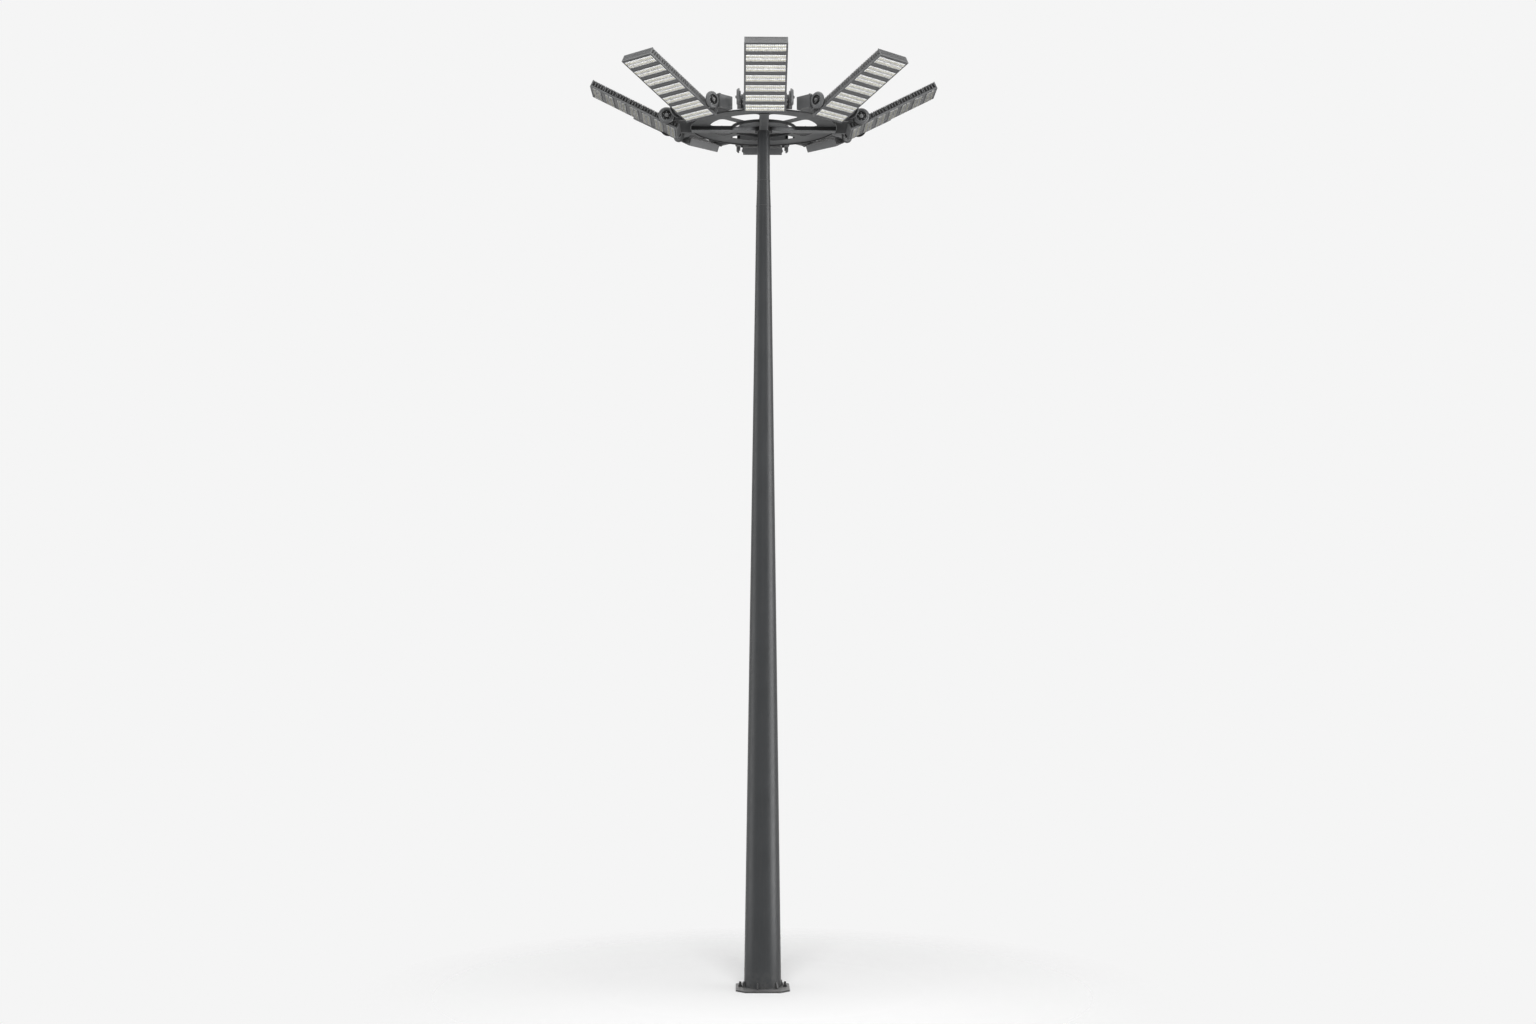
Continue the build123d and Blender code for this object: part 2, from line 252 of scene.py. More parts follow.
# ---- Mesh building -----------------------------------------------------------------------
class Shape:
    """A mesh that collects many small closed forms and becomes one piece."""

    def __init__(self):
        self.bm = bmesh.new()

    def face(self, verts, material=0, smooth=False):
        """A face over vertices that exist already."""
        face = self.bm.faces.new(verts)
        face.material_index = material
        face.smooth = smooth

    def lathe(self, matrix, profile, sides, material=0, smooth=True):
        """Turn a profile of (radius, height) points, from bottom to top, about local z."""
        rings = []
        for radius, height in profile:
            if radius == 0:
                rings.append([self.bm.verts.new(matrix @ Vector((0, 0, height)))])
                continue
            ring = []
            for side in range(sides):
                angle = 2 * math.pi * (side + 0.5) / sides
                place = Vector((radius * math.cos(angle), radius * math.sin(angle), height))
                ring.append(self.bm.verts.new(matrix @ place))
            rings.append(ring)
        for lower, upper in zip(rings, rings[1:]):
            for side in range(sides):
                following = (side + 1) % sides
                if len(lower) == 1:
                    self.face([lower[0], upper[following], upper[side]], material, smooth)
                elif len(upper) == 1:
                    self.face([lower[side], lower[following], upper[0]], material, smooth)
                else:
                    corners = [lower[side], lower[following], upper[following], upper[side]]
                    self.face(corners, material, smooth)
        return rings

    def dome(self, matrix, sides=12):
        """A lens over a rounded rectangle, one unit high, with a patch of material 1 at its tip."""
        corner = 0.55
        rings = []
        for reach, height in ((1.0, 0.0), (0.97, 0.5), (0.80, 0.85), (0.42, 0.96)):
            ring = []
            for side in range(sides):
                angle = 2 * math.pi * (side + 0.5) / sides
                x = math.copysign(abs(math.cos(angle)) ** corner, math.cos(angle)) * reach
                y = math.copysign(abs(math.sin(angle)) ** corner, math.sin(angle)) * reach
                ring.append(self.bm.verts.new(matrix @ Vector((x, y, height))))
            rings.append(ring)
        for lower, upper in zip(rings, rings[1:]):
            for side in range(sides):
                following = (side + 1) % sides
                self.face([lower[side], lower[following], upper[following], upper[side]], 0, True)
        tip = self.bm.verts.new(matrix @ Vector((0, 0, 1)))
        for side in range(sides):
            self.face([rings[-1][side], rings[-1][(side + 1) % sides], tip], 1, True)

    def solid(self, matrix, profile, sides, material=0, smooth=True):
        """A turned form that is closed by flat faces at its bottom and top."""
        rings = self.lathe(matrix, profile, sides, material, smooth)
        if len(rings[0]) > 1:
            self.face(list(reversed(rings[0])), material)
        if len(rings[-1]) > 1:
            self.face(rings[-1], material)

    def hoop(self, matrix, profile, sides, material=0, smooth=True):
        """A ring whose closed section is a loop of (radius, height) points."""
        self.lathe(matrix, list(profile) + [profile[0]], sides, material, smooth)
        bmesh.ops.remove_doubles(self.bm, verts=self.bm.verts, dist=1e-7)

    def block(self, matrix, size, bevel, material=0):
        """A box with bevelled edges, centred on the local origin."""
        hx, hy, hz = size[0] / 2, size[1] / 2, size[2] / 2
        b = min(bevel, 0.45 * min(size))
        v = {}
        for sx in (-1, 1):
            for sy in (-1, 1):
                for sz in (-1, 1):
                    corner = (sx, sy, sz)
                    full = (sx * hx, sy * hy, sz * hz)
                    cut = (sx * (hx - b), sy * (hy - b), sz * (hz - b))
                    for i in range(3):
                        place = Vector([full[j] if j == i else cut[j] for j in range(3)])
                        v[corner, i] = self.bm.verts.new(matrix @ place)
                    order = (0, 1, 2) if sx * sy * sz > 0 else (2, 1, 0)
                    self.face([v[corner, i] for i in order], material)
        for axis in range(3):
            first, second = (axis + 1) % 3, (axis + 2) % 3
            for sign in (-1, 1):
                loop = []
                for s1, s2 in ((-1, -1), (1, -1), (1, 1), (-1, 1)):
                    corner = [0, 0, 0]
                    corner[axis], corner[first], corner[second] = sign, s1, s2
                    loop.append(v[tuple(corner), axis])
                self.face(loop if sign > 0 else loop[::-1], material)
            for s1 in (-1, 1):
                for s2 in (-1, 1):
                    near, far = [0, 0, 0], [0, 0, 0]
                    near[first] = far[first] = s1
                    near[second] = far[second] = s2
                    near[axis], far[axis] = -1, 1
                    near, far = tuple(near), tuple(far)
                    loop = [v[near, first], v[far, first], v[far, second], v[near, second]]
                    self.face(loop if s1 * s2 < 0 else loop[::-1], material)

    def bolt(self, matrix, size, washer=True, material=0):
        """A hexagon head or nut with its chamfer, on a washer, standing on local z = 0."""
        width, height = size
        radius = width / 2 / math.cos(math.pi / 6)
        foot = 0.0
        if washer:
            foot = height * 0.18
            flat = [(width * 0.72, 0), (width * 0.72, foot * 0.7), (width * 0.68, foot)]
            self.solid(matrix, flat, 20, material)
        head = [(radius, foot), (radius, foot + height * 0.86), (width * 0.44, foot + height)]
        self.solid(matrix, head, 6, material, smooth=False)

    def screw(self, matrix, size, material=0):
        """A button-head screw with its socket, standing on local z = 0."""
        radius, height = size
        rim, shoulder = (radius, height * 0.35), (radius * 0.82, height * 0.85)
        self.lathe(matrix, [(radius, 0), rim, shoulder, (radius * 0.5, height)], 12, material)
        socket = [(radius * 0.5, height), (radius * 0.45, height * 0.25), (0, height * 0.25)]
        self.lathe(matrix, socket, 12, material, False)

    def place(self, name, body, slot, materials, matrix=None):
        """Make the collected forms one piece of the scene, riding on a body."""
        mesh = bpy.data.meshes.new(name)
        bmesh.ops.recalc_face_normals(self.bm, faces=self.bm.faces)
        self.bm.to_mesh(mesh)
        if matrix is not None:
            mesh.transform(matrix)
        for material in materials:
            mesh.materials.append(material)
        piece = bpy.data.objects.new(name, mesh)
        bpy.context.scene.collection.objects.link(piece)
        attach(piece, body)
        return piece


# ---- Materials ---------------------------------------------------------------------------
def new_material(name):
    """An empty node material with its Principled shader."""
    material = bpy.data.materials.new(name)
    material.use_nodes = True
    tree = material.node_tree
    tree.nodes.clear()
    output = tree.nodes.new("ShaderNodeOutputMaterial")
    shader = tree.nodes.new("ShaderNodeBsdfPrincipled")
    tree.links.new(shader.outputs["BSDF"], output.inputs["Surface"])
    return material, tree, shader


def object_place(tree, stretch=(1, 1, 1)):
    """Object coordinates, stretched by a factor along each axis."""
    place = tree.nodes.new("ShaderNodeTexCoord")
    mapping = tree.nodes.new("ShaderNodeMapping")
    mapping.inputs["Scale"].default_value = stretch
    tree.links.new(place.outputs["Object"], mapping.inputs["Vector"])
    return mapping.outputs["Vector"]


def noise(tree, scale, detail=4.0, roughness=0.55, stretch=(1, 1, 1)):
    """Noise over object coordinates, in cycles a metre."""
    texture = tree.nodes.new("ShaderNodeTexNoise")
    texture.inputs["Scale"].default_value = scale
    texture.inputs["Detail"].default_value = detail
    texture.inputs["Roughness"].default_value = roughness
    tree.links.new(object_place(tree, stretch), texture.inputs["Vector"])
    return texture.outputs["Fac"]


def ramp(tree, value, stops):
    """Colour ramp over a value, with (position, colour) stops."""
    node = tree.nodes.new("ShaderNodeValToRGB")
    elements = node.color_ramp.elements
    elements[0].position, elements[0].color = stops[0][0], (*stops[0][1], 1)
    elements[1].position, elements[1].color = stops[-1][0], (*stops[-1][1], 1)
    for position, colour in stops[1:-1]:
        elements.new(position).color = (*colour, 1)
    tree.links.new(value, node.inputs["Fac"])
    return node.outputs["Color"]


def span(tree, value, low, high, start=0.0, end=1.0):
    """Map a value from one range to another, held at the ends."""
    node = tree.nodes.new("ShaderNodeMapRange")
    for name, number in (("From Min", low), ("From Max", high), ("To Min", start), ("To Max", end)):
        node.inputs[name].default_value = number
    tree.links.new(value, node.inputs["Value"])
    return node.outputs["Result"]


def times(tree, first, second):
    """Product of two values."""
    node = tree.nodes.new("ShaderNodeMath")
    node.operation = "MULTIPLY"
    tree.links.new(first, node.inputs[0])
    tree.links.new(second, node.inputs[1])
    return node.outputs["Value"]


def blend(tree, factor, first, second):
    """Mix two colours; the second may be a plain colour."""
    node = tree.nodes.new("ShaderNodeMix")
    node.data_type = "RGBA"
    tree.links.new(factor, node.inputs["Factor"])
    tree.links.new(first, node.inputs["A"])
    if isinstance(second, tuple):
        node.inputs["B"].default_value = (*second, 1)
    else:
        tree.links.new(second, node.inputs["B"])
    return node.outputs["Result"]


def bump(tree, shader, layers):
    """Chain bumps of (height value, strength, depth in metres) into a shader's normal."""
    normal = None
    for height, strength, depth in layers:
        node = tree.nodes.new("ShaderNodeBump")
        node.inputs["Strength"].default_value = strength
        node.inputs["Distance"].default_value = depth
        tree.links.new(height, node.inputs["Height"])
        if normal is not None:
            tree.links.new(normal, node.inputs["Normal"])
        normal = node.outputs["Normal"]
    tree.links.new(normal, shader.inputs["Normal"])


def grey(level, warmth=0.0):
    """A near-neutral colour; positive warmth leans to yellow and negative to blue."""
    return (level * (1 + warmth), level, level * (1 - warmth))


PAINT_DUST = grey(0.32, 0.02)
SINK_DUST = grey(0.33, 0.05)
# Colour of the painted shade in tight corners and recesses.
CORNER_SHADE = grey(0.016)
GROUND_SPLASH = grey(0.17, 0.06)
PLASTIC_SPECULAR = 0.04
SPANGLE_SCALE = 60


def edge_mask(tree, radius):
    """White along worn edges, where a rounded normal leaves the true one."""
    rounded = tree.nodes.new("ShaderNodeBevel")
    rounded.samples = 4
    rounded.inputs["Radius"].default_value = radius
    true = tree.nodes.new("ShaderNodeNewGeometry")
    dot = tree.nodes.new("ShaderNodeVectorMath")
    dot.operation = "DOT_PRODUCT"
    tree.links.new(rounded.outputs["Normal"], dot.inputs[0])
    tree.links.new(true.outputs["Normal"], dot.inputs[1])
    return span(tree, dot.outputs["Value"], 0.97, 0.80)


def occlusion_shade(tree, reach):
    """One in tight corners and recesses, where shade falls, read from ambient occlusion; it falls to
    zero on open faces.
    """
    node = tree.nodes.new("ShaderNodeAmbientOcclusion")
    node.samples = 6
    node.inputs["Distance"].default_value = reach
    return span(tree, node.outputs["AO"], 0.85, 0.25)


def upward(tree):
    """White where a surface faces the sky and dust settles."""
    geometry = tree.nodes.new("ShaderNodeNewGeometry")
    split = tree.nodes.new("ShaderNodeSeparateXYZ")
    tree.links.new(geometry.outputs["Normal"], split.inputs["Vector"])
    return span(tree, split.outputs["Z"], 0.4, 0.95)


def axis_distance(tree):
    """Distance from the mast's axis, in metres."""
    flat = tree.nodes.new("ShaderNodeVectorMath")
    flat.operation = "MULTIPLY"
    flat.inputs[1].default_value = (1, 1, 0)
    tree.links.new(object_place(tree), flat.inputs[0])
    length = tree.nodes.new("ShaderNodeVectorMath")
    length.operation = "LENGTH"
    tree.links.new(flat.outputs["Vector"], length.inputs[0])
    return length.outputs["Value"]


def slope_value(tree):
    """How far a surface leans from upright: 0 for an upright face, 1 for a level one."""
    geometry = tree.nodes.new("ShaderNodeNewGeometry")
    split = tree.nodes.new("ShaderNodeSeparateXYZ")
    tree.links.new(geometry.outputs["True Normal"], split.inputs["Vector"])
    size = tree.nodes.new("ShaderNodeMath")
    size.operation = "ABSOLUTE"
    tree.links.new(split.outputs["Z"], size.inputs[0])
    return size.outputs["Value"]


def height_value(tree):
    """Height above the ground, in metres."""
    split = tree.nodes.new("ShaderNodeSeparateXYZ")
    tree.links.new(object_place(tree), split.inputs["Vector"])
    return split.outputs["Z"]


def powder_coat(
    name, level, rough, warmth=-0.02, dust=0.25, wear=0.5, edge=0.004, foot=False, specular=0.3,
    hub=None, cut=None,
):
    """Satin powder coat: slow colour drift, rain streaks, dust on top faces, paler worn edges and
    painted shade in tight corners.

    A foot adds ground splashes, a hub gives the level of painted light on parts inside the head's
    hoop beyond the collar, and a cut gives the level of painted shade on upright faces.
    """
    material, tree, shader = new_material(name)
    drift = noise(tree, 1.3, 5)
    colour = ramp(tree, drift, [(0.3, grey(level * 0.90, warmth)), (0.7, grey(level * 1.10, warmth))])
    # Painted light: inside the head's hoop, beyond the collar, the colour turns to the lighter hub
    # level; near the collar it stays dark, as painted shade.
    if hub is not None:
        inside = span(tree, axis_distance(tree), HOOP_RADIUS + 0.01, HOOP_RADIUS - 0.03)
        beyond_collar = span(tree, axis_distance(tree), COLLAR_RADIUS + 0.01, COLLAR_RADIUS + 0.12)
        colour = blend(tree, times(tree, inside, beyond_collar), colour, grey(hub, warmth))
    # Painted shade: upright faces, such as the rims of the deck's windows, are painted darker at the
    # cut level.
    if cut is not None:
        colour = blend(tree, span(tree, slope_value(tree), 0.30, 0.10), colour, grey(cut, warmth))
    streaks = span(tree, noise(tree, 30.0, 4, 0.6, (1, 1, 0.04)), 0.50, 0.75, 0.0, 0.35)
    colour = blend(tree, streaks, colour, grey(level * 1.35, 0.01))
    dusty = times(tree, upward(tree), span(tree, noise(tree, 6.0, 5), 0.3, 0.7, dust * 0.4, dust))
    colour = blend(tree, dusty, colour, PAINT_DUST)
    patches = span(tree, noise(tree, 22.0, 4), 0.35, 0.65, wear * 0.2, wear)
    worn = times(tree, edge_mask(tree, edge), patches)
    colour = blend(tree, worn, colour, grey(level * 2.4, 0.0))
    # Painted shade: tight corners and recesses are darkened in patches, wherever ambient occlusion
    # finds them.
    corner_shade_mask = times(tree, occlusion_shade(tree, 0.30), span(tree, noise(tree, 5.0, 4), 0.3, 0.7, 0.30, 0.60))
    colour = blend(tree, corner_shade_mask, colour, CORNER_SHADE)
    if foot:
        splash = span(tree, height_value(tree), 0.40, 0.03)
        splash = times(tree, splash, span(tree, noise(tree, 11.0, 6, 0.65), 0.42, 0.72, 0.0, 0.22))
        colour = blend(tree, splash, colour, GROUND_SPLASH)
    tree.links.new(colour, shader.inputs["Base Color"])
    gloss = span(tree, noise(tree, 7.0, 4), 0.25, 0.75, rough - 0.05, rough + 0.09)
    tree.links.new(gloss, shader.inputs["Roughness"])
    shader.inputs["Specular IOR Level"].default_value = specular
    bump(tree, shader, [(noise(tree, 3.0, 3), 0.25, 0.004), (noise(tree, 320.0, 2), 0.20, 0.0006)])
    return material


def anodised(name, level, upright_shade_level, rough, metallic):
    """Finned aluminium: extrusion lines and matt blotches, with upright faces painted darker as
    shade.
    """
    material, tree, shader = new_material(name)
    drift = noise(tree, 4.0, 5)
    colour = ramp(tree, drift, [(0.3, grey(level * 0.82, -0.01)), (0.7, grey(level * 1.18, 0.01))])
    # Painted shade: upright faces, the fins' ends, are painted darker, for the shaded fin band seen
    # from the side.
    colour = blend(tree, span(tree, slope_value(tree), 0.30, 0.10), colour, grey(upright_shade_level))
    dusty = times(tree, upward(tree), span(tree, noise(tree, 9.0, 5), 0.3, 0.7, 0.05, 0.22))
    colour = blend(tree, dusty, colour, SINK_DUST)
    tree.links.new(colour, shader.inputs["Base Color"])
    lines = noise(tree, 420.0, 2, 0.5, (1, 1, 0.06))
    gloss = span(tree, lines, 0.3, 0.7, rough - 0.06, rough + 0.1)
    tree.links.new(gloss, shader.inputs["Roughness"])
    shader.inputs["Metallic"].default_value = metallic
    bump(tree, shader, [(lines, 0.15, 0.0005), (noise(tree, 140.0, 3), 0.15, 0.0006)])
    return material


def zinc_steel(name, level, rough, metallic):
    """Zinc-plated fastener steel: crystal spangle, darker stains and bright edges."""
    material, tree, shader = new_material(name)
    cells = tree.nodes.new("ShaderNodeTexVoronoi")
    cells.inputs["Scale"].default_value = SPANGLE_SCALE
    tree.links.new(object_place(tree), cells.inputs["Vector"])
    tone = span(tree, cells.outputs["Distance"], 0.0, 0.9)
    colour = ramp(tree, tone, [(0.0, grey(level * 0.8, -0.02)), (1.0, grey(level * 1.25, -0.01))])
    stain = span(tree, noise(tree, 26.0, 5, 0.6), 0.50, 0.74, 0.0, 0.7)
    colour = blend(tree, stain, colour, (level * 0.75, level * 0.62, level * 0.50))
    worn = times(tree, edge_mask(tree, 0.002), span(tree, noise(tree, 60.0, 3), 0.3, 0.7, 0.2, 0.8))
    colour = blend(tree, worn, colour, grey(min(0.6, level * 2.5)))
    tree.links.new(colour, shader.inputs["Base Color"])
    gloss = span(tree, noise(tree, 45.0, 4), 0.25, 0.75, rough - 0.08, rough + 0.12)
    tree.links.new(gloss, shader.inputs["Roughness"])
    shader.inputs["Metallic"].default_value = metallic
    bump(tree, shader, [(noise(tree, 260.0, 3), 0.25, 0.0005)])
    return material


def moulded_plastic(name, low, high, rough):
    """Matt moulded plastic with a faint flow pattern and settled dust specks."""
    material, tree, shader = new_material(name)
    drift = noise(tree, 26.0, 3)
    colour = ramp(tree, drift, [(0.38, low), (0.62, high)])
    specks = span(tree, noise(tree, 210.0, 4, 0.7), 0.60, 0.78, 0.0, 0.30)
    colour = blend(tree, specks, colour, tuple(0.7 * channel for channel in low))
    tree.links.new(colour, shader.inputs["Base Color"])
    gloss = span(tree, noise(tree, 60.0, 3), 0.3, 0.7, rough - 0.04, rough + 0.10)
    tree.links.new(gloss, shader.inputs["Roughness"])
    shader.inputs["Specular IOR Level"].default_value = PLASTIC_SPECULAR
    bump(tree, shader, [(noise(tree, 90.0, 3), 0.10, 0.0006)])
    return material


MAST_PAINT = powder_coat("mast_paint", 0.032, 0.36, -0.045, wear=0.35, foot=True, specular=0.22)
# Its dust on top faces and its paler worn edges are real dust and wear, and also a painted highlight
# on the plate's top and along its top edge.
BASE_PAINT = powder_coat("base_paint", 0.040, 0.46, dust=0.38, wear=0.9, edge=0.009, foot=True)
# Painted light: the head's steel is painted far lighter than the mast's, so that the deck's underside
# looks lit; its upright faces take painted shade.
HEAD_LIT_PAINT = powder_coat("head_lit_paint", 0.165, 0.50, specular=0.2, cut=0.030)
# Painted light: the hub plate is painted lighter still, so that its underside looks lit; its upright
# faces take painted shade.
HUB_LIT_PAINT = powder_coat("hub_lit_paint", 0.400, 0.50, specular=0.2, cut=0.060)
# Painted shade: the arms and the hoop are painted darker than the mast, as shade under the head;
# inside the hoop the arms take painted light at the hub level.
ARM_SHADE_PAINT = powder_coat("arm_shade_paint", 0.019, 0.50, wear=0.3, specular=0.12, hub=0.24)
# Painted light: the arm covers take the lighter level of the deck, so that the arms' undersides look
# lit.
COVER_LIT_PAINT = powder_coat("cover_lit_paint", 0.160, 0.46, wear=0.8, edge=0.008)
YOKE_PAINT = powder_coat("yoke_paint", 0.076, 0.42)
# Painted shade: the pivot discs are painted near black, which shows in their recesses as shade; their
# rims take the rim paint on a skin.
DISC_SHADE_PAINT = powder_coat("disc_shade_paint", 0.024, 0.42, wear=0.4, specular=0.2)
RIM_PAINT = powder_coat("rim_paint", 0.082, 0.38, wear=0.7)
LAMP_PAINT = powder_coat("lamp_paint", 0.120, 0.42, wear=0.6, edge=0.003)
SINK_METAL = anodised("sink_metal", 0.130, 0.022, 0.50, 0.10)
WELD_PAINT = powder_coat("weld_paint", 0.052, 0.38, wear=0.8, edge=0.002)
DARK_BOLT = zinc_steel("dark_bolt", 0.020, 0.42, 0.3)
ZINC_BOLT = zinc_steel("zinc_bolt", 0.17, 0.40, 0.75)
LENS_BOARD = moulded_plastic("lens_board", (0.36, 0.36, 0.37), (0.46, 0.46, 0.47), 0.45)
OPTIC_CLEAR = moulded_plastic("optic_clear", (0.70, 0.70, 0.71), (0.94, 0.94, 0.92), 0.30)
PHOSPHOR = moulded_plastic("phosphor", (0.68, 0.63, 0.34), (0.84, 0.80, 0.50), 0.40)
SEAM_SEALANT = moulded_plastic("seam_sealant", (0.045, 0.045, 0.047), (0.065, 0.065, 0.065), 0.6)

NODE_PAINTS = {
    "mast_shaft": MAST_PAINT,
    "mast_top": MAST_PAINT,
    "base_plate": BASE_PAINT,
    "base_gussets": BASE_PAINT,
    "anchor_bolts": DARK_BOLT,
    "radial_arms": ARM_SHADE_PAINT,
    "inner_ring": ARM_SHADE_PAINT,
    "hub_plate": HUB_LIT_PAINT,
    "ring_deck": HEAD_LIT_PAINT,
    "yoke_crossbars": YOKE_PAINT,
    "yoke_arms": YOKE_PAINT,
    "pivot_discs": DISC_SHADE_PAINT,
}
ENDING_PAINTS = {"_lenses": LENS_BOARD, "_heat_sinks": SINK_METAL, "_frame": LAMP_PAINT}


def paint_nodes():
    """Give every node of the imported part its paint."""
    for name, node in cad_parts.items():
        paints = [paint for ending, paint in ENDING_PAINTS.items() if name.endswith(ending)]
        node.data.materials.clear()
        node.data.materials.append(paints[0] if paints else NODE_PAINTS[name])


# ---- Floodlights -------------------------------------------------------------------------
def optics():
    """Rounded LED lenses in rows on every module, each with its phosphor patch."""
    shape = Shape()
    pitch_x = (LENS_WIDTH - 2 * OPTIC_MARGIN) / OPTIC_COLUMNS
    pitch_y = (LENS_LENGTH - 2 * OPTIC_MARGIN) / OPTIC_ROWS
    size = Matrix.Diagonal((pitch_x * 0.48, pitch_y * 0.485, OPTIC_RISE, 1))
    for module in range(MODULE_COUNT):
        for row in range(OPTIC_ROWS):
            for column in range(OPTIC_COLUMNS):
                x = (column + 0.5 - OPTIC_COLUMNS / 2) * pitch_x
                y = module * MODULE_PITCH + OPTIC_MARGIN + (row + 0.5) * pitch_y
                shape.dome(facing(x, y, 0.0002, "-z") @ size)
    return shape


def lens_trim():
    """Clamp strips round each lens plate, with their screws, on the light's side."""
    shape = Shape()
    strip, proud = 0.007, 0.004
    level = 0.0005 - proud / 2
    for module in range(MODULE_COUNT):
        start = module * MODULE_PITCH
        middle = start + LENS_LENGTH / 2
        for side in (-1, 1):
            x = side * (LENS_WIDTH / 2 + strip / 2)
            shape.block(at(x, middle, level), (strip, LENS_LENGTH + 2 * strip, proud), FINE_BEVEL)
            y = middle + side * (LENS_LENGTH / 2 + strip / 2)
            shape.block(at(0, y, level), (LENS_WIDTH, strip, proud), FINE_BEVEL)
            for step in TRIM_SCREW_STEPS:
                x = side * (LENS_WIDTH / 2 + RAIL_WIDTH * 0.62)
                shape.screw(facing(x, start + LENS_LENGTH * step, 0, "-z"), TRIM_SCREW, 1)
        if module < MODULE_COUNT - 1:
            for step in TIE_SCREW_STEPS:
                y = start + LENS_LENGTH + (MODULE_PITCH - LENS_LENGTH) / 2
                shape.screw(facing(LENS_WIDTH * step, y, TIE_RECESS, "-z"), TIE_SCREW, 1)
    return shape


def body_trim():
    """Rail ribs, end plate screws, ear bolts and sink screws of one floodlight."""
    shape = Shape()
    rib, proud, inset = 0.004, 0.0025, 0.012
    before_pivot = (inset - END_MARGIN, PIVOT_ALONG - PIVOT_CLEAR)
    beyond_pivot = (PIVOT_ALONG + PIVOT_CLEAR, LAMP_END - inset)
    for side in (-1, 1):
        for start, end in (before_pivot, beyond_pivot):
            for level in RAIL_RIB_LEVELS:
                x = side * (LAMP_HALF_WIDTH + proud / 2 - 0.0005)
                size = (proud + 0.001, end - start, rib)
                shape.block(at(x, (start + end) / 2, level), size, FINE_BEVEL)
        x, axis = side * (LAMP_HALF_WIDTH + EAR_THICKNESS), "+x" if side > 0 else "-x"
        for shift in (-EAR_BOLT_SHIFT, EAR_BOLT_SHIFT):
            shape.bolt(facing(x, PIVOT_ALONG + shift, EAR_BOLT_LEVEL, axis), EAR_BOLT, True, 1)
    for end, axis in ((-END_MARGIN, "-y"), (LAMP_END, "+y")):
        for x, level in END_SCREW_PLACES:
            for side in (-1, 1):
                shape.screw(facing(side * x, end, level, axis), END_SCREW, 1)
    for module in range(MODULE_COUNT):
        middle = module * MODULE_PITCH + LENS_LENGTH / 2
        for side in (-1, 1):
            for shift in (-SINK_SCREW_SHIFT, SINK_SCREW_SHIFT):
                spot = facing(side * SINK_SCREW_ASIDE, middle + shift, RAIL_HEIGHT, "+z")
                shape.screw(spot, SINK_SCREW, 1)
    return shape


def rib_ends():
    """Cap strips with two screws on both ends of the heat sinks' thick ribs, clear of the pivots."""
    shape = Shape()
    width, proud, screw_inset = 0.013, 0.004, 0.010
    low, high = RAIL_HEIGHT + 0.010, LAMP_THICKNESS - 0.004
    for module in range(MODULE_COUNT):
        first = module * MODULE_PITCH + (LENS_LENGTH - SINK_LENGTH) / 2 + RIB_THICKNESS / 2
        step = (SINK_LENGTH - RIB_THICKNESS) / (RIB_COUNT - 1)
        for rib in range(RIB_COUNT):
            along = first + rib * step
            if abs(along - PIVOT_ALONG) < PIVOT_CLEAR:
                continue
            for side in (-1, 1):
                x = side * SINK_HALF_WIDTH
                middle = at(x + side * proud / 2, along, (low + high) / 2)
                shape.block(middle, (proud, width, high - low), FINE_BEVEL)
                for level in (low + screw_inset, high - screw_inset):
                    spot = facing(x + side * proud, along, level, "+x" if side > 0 else "-x")
                    shape.screw(spot, RIB_SCREW, 1)
    return shape


def dress_lamps():
    """The same four pieces on the body of every floodlight."""
    parts = (
        ("rib_ends", rib_ends(), "lamp_aluminium", (LAMP_PAINT, ZINC_BOLT)),
        ("optics", optics(), "lens_plastic", (OPTIC_CLEAR, PHOSPHOR)),
        ("lens_trim", lens_trim(), "lamp_aluminium", (LAMP_PAINT, ZINC_BOLT)),
        ("body_trim", body_trim(), "lamp_aluminium", (LAMP_PAINT, ZINC_BOLT)),
    )
    for number in range(LAMP_COUNT):
        body = "lamp_%d" % (number + 1)
        home = lamp_matrix(number * LAMP_STEP)
        for name, shape, slot, materials in parts:
            shape.place(body + "_" + name, body, slot, materials, home)


# ---- Yokes -------------------------------------------------------------------------------
def rim_section():
    """Closed section of the cladding round a pivot disc, as (radius, height) from the disc's face."""
    bevel_start, skin = DISC_BEVEL - 0.001, 0.0015
    return [
        (DISC_RADIUS - 0.002, 0.004 - DISC_THICKNESS),
        (DISC_RADIUS + skin, 0.004 - DISC_THICKNESS),
        (DISC_RADIUS + skin, -bevel_start),
        (DISC_RADIUS - bevel_start, skin),
        (RIM_OPENING, skin),
        (RIM_OPENING, -0.002),
        (DISC_RADIUS - DISC_BEVEL - 0.001, -0.002),
        (DISC_RADIUS - 0.002, -DISC_BEVEL - 0.001),
    ]


